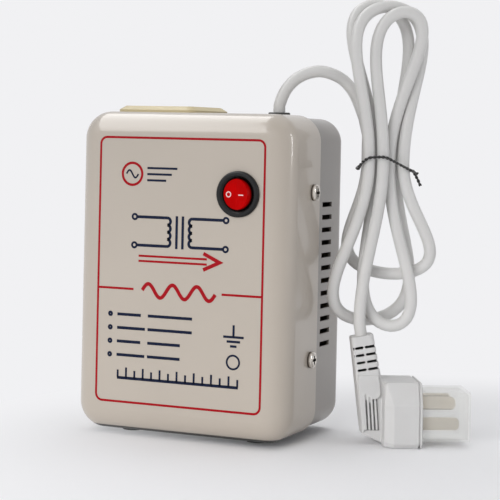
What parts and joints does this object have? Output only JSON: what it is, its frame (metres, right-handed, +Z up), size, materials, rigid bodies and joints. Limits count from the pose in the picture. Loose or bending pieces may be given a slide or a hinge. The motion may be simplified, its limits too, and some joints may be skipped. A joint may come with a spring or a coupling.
{
  "type": "isolation transformer",
  "caption": "Upright steel-cased isolation transformer with a lit rocker switch, a top outlet, side vents and a corded angled plug.",
  "frame": {"origin": "middle of the footprint of the case with its switch and screw heads, on the surface it stands on", "axes": "+X to the right seen from the front, +Y to the rear, +Z up; the front face with the switch looks along -Y"},
  "size_m": [0.198, 0.0877, 0.2259],
  "materials": {
    "case_front": "gloss powder coat, warm light grey",
    "case_rear": "satin powder coat, mid grey",
    "screw_nickel": "nickel plated",
    "zinc_steel": "zinc plated",
    "black_rubber": "matte",
    "outlet_beige": "moulded, satin",
    "contact_brass": "bare",
    "switch_black": "moulded",
    "rocker_red": "translucent red",
    "lamp_glass": "clear",
    "core_steel": "varnished laminations",
    "bobbin_nylon": "moulded",
    "enamelled_copper": "enamelled",
    "film_yellow": "polyester film",
    "wire_brown": "insulation",
    "wire_blue": "insulation",
    "wire_white": "insulation",
    "wire_green": "insulation",
    "cord_grey": "soft sheath, satin",
    "tie_black": "twist wire",
    "plug_grey": "moulded, satin",
    "cap_clear": "clear plastic"
  },
  "bodies": {
    "case": {"front_cover": "case_front", "rear_cover": "case_rear", "cover_screws": "screw_nickel", "clinch_nuts": "zinc_steel", "feet": "black_rubber", "outlet_plate": "outlet_beige", "outlet_insert": "outlet_beige", "outlet_contacts": "contact_brass", "switch_housing": "switch_black", "switch_terminals": "contact_brass", "switch_lamp": "lamp_glass", "core_e_stack": "core_steel", "core_i_stack": "core_steel", "core_frame": "zinc_steel", "frame_screws": "screw_nickel", "frame_nuts": "zinc_steel", "bobbin": "bobbin_nylon", "primary_winding": "enamelled_copper", "secondary_winding": "enamelled_copper", "winding_wrap": "film_yellow", "winding_tags": "contact_brass", "thermal_cutout": "switch_black", "earth_stud": "zinc_steel", "earth_nut": "zinc_steel", "earth_lug": "zinc_steel", "wires_live": "wire_brown", "wires_neutral": "wire_blue", "wires_output": "wire_white", "wires_earth": "wire_green", "cord_grommet": "black_rubber", "cord_clamp": "switch_black", "cord_inner_end": "cord_grey", "cord_lead": "cord_grey", "cord_hank": "cord_grey", "cord_tie": "tie_black", "plug_body": "plug_grey", "plug_pins": "contact_brass"},
    "rocker": {"switch_rocker": "rocker_red"},
    "lever": {"switch_lever": "contact_brass"},
    "cap": {"pin_cap": "cap_clear"}
  },
  "joints": [
    {"name": "rocker_tilt", "type": "hinge", "parent": "case", "child": "rocker", "pos_m": [0.032, -0.03942, 0.1254], "axis": [0, 0, 1], "range_deg": [0, 24]},
    {"name": "lever_tilt", "type": "hinge", "parent": "case", "child": "lever", "pos_m": [0.032, -0.02919, 0.1254], "axis": [0, 0, 1], "range_deg": [-14, 0]},
    {"name": "cap_slide", "type": "slide", "parent": "case", "child": "cap", "axis": [0.8829, 0.4695, 0], "range_m": [0, 0.03]}
  ],
  "couplings": [
    {"joint": "lever_tilt", "follows": "rocker_tilt", "ratio": -0.58333}
  ]
}
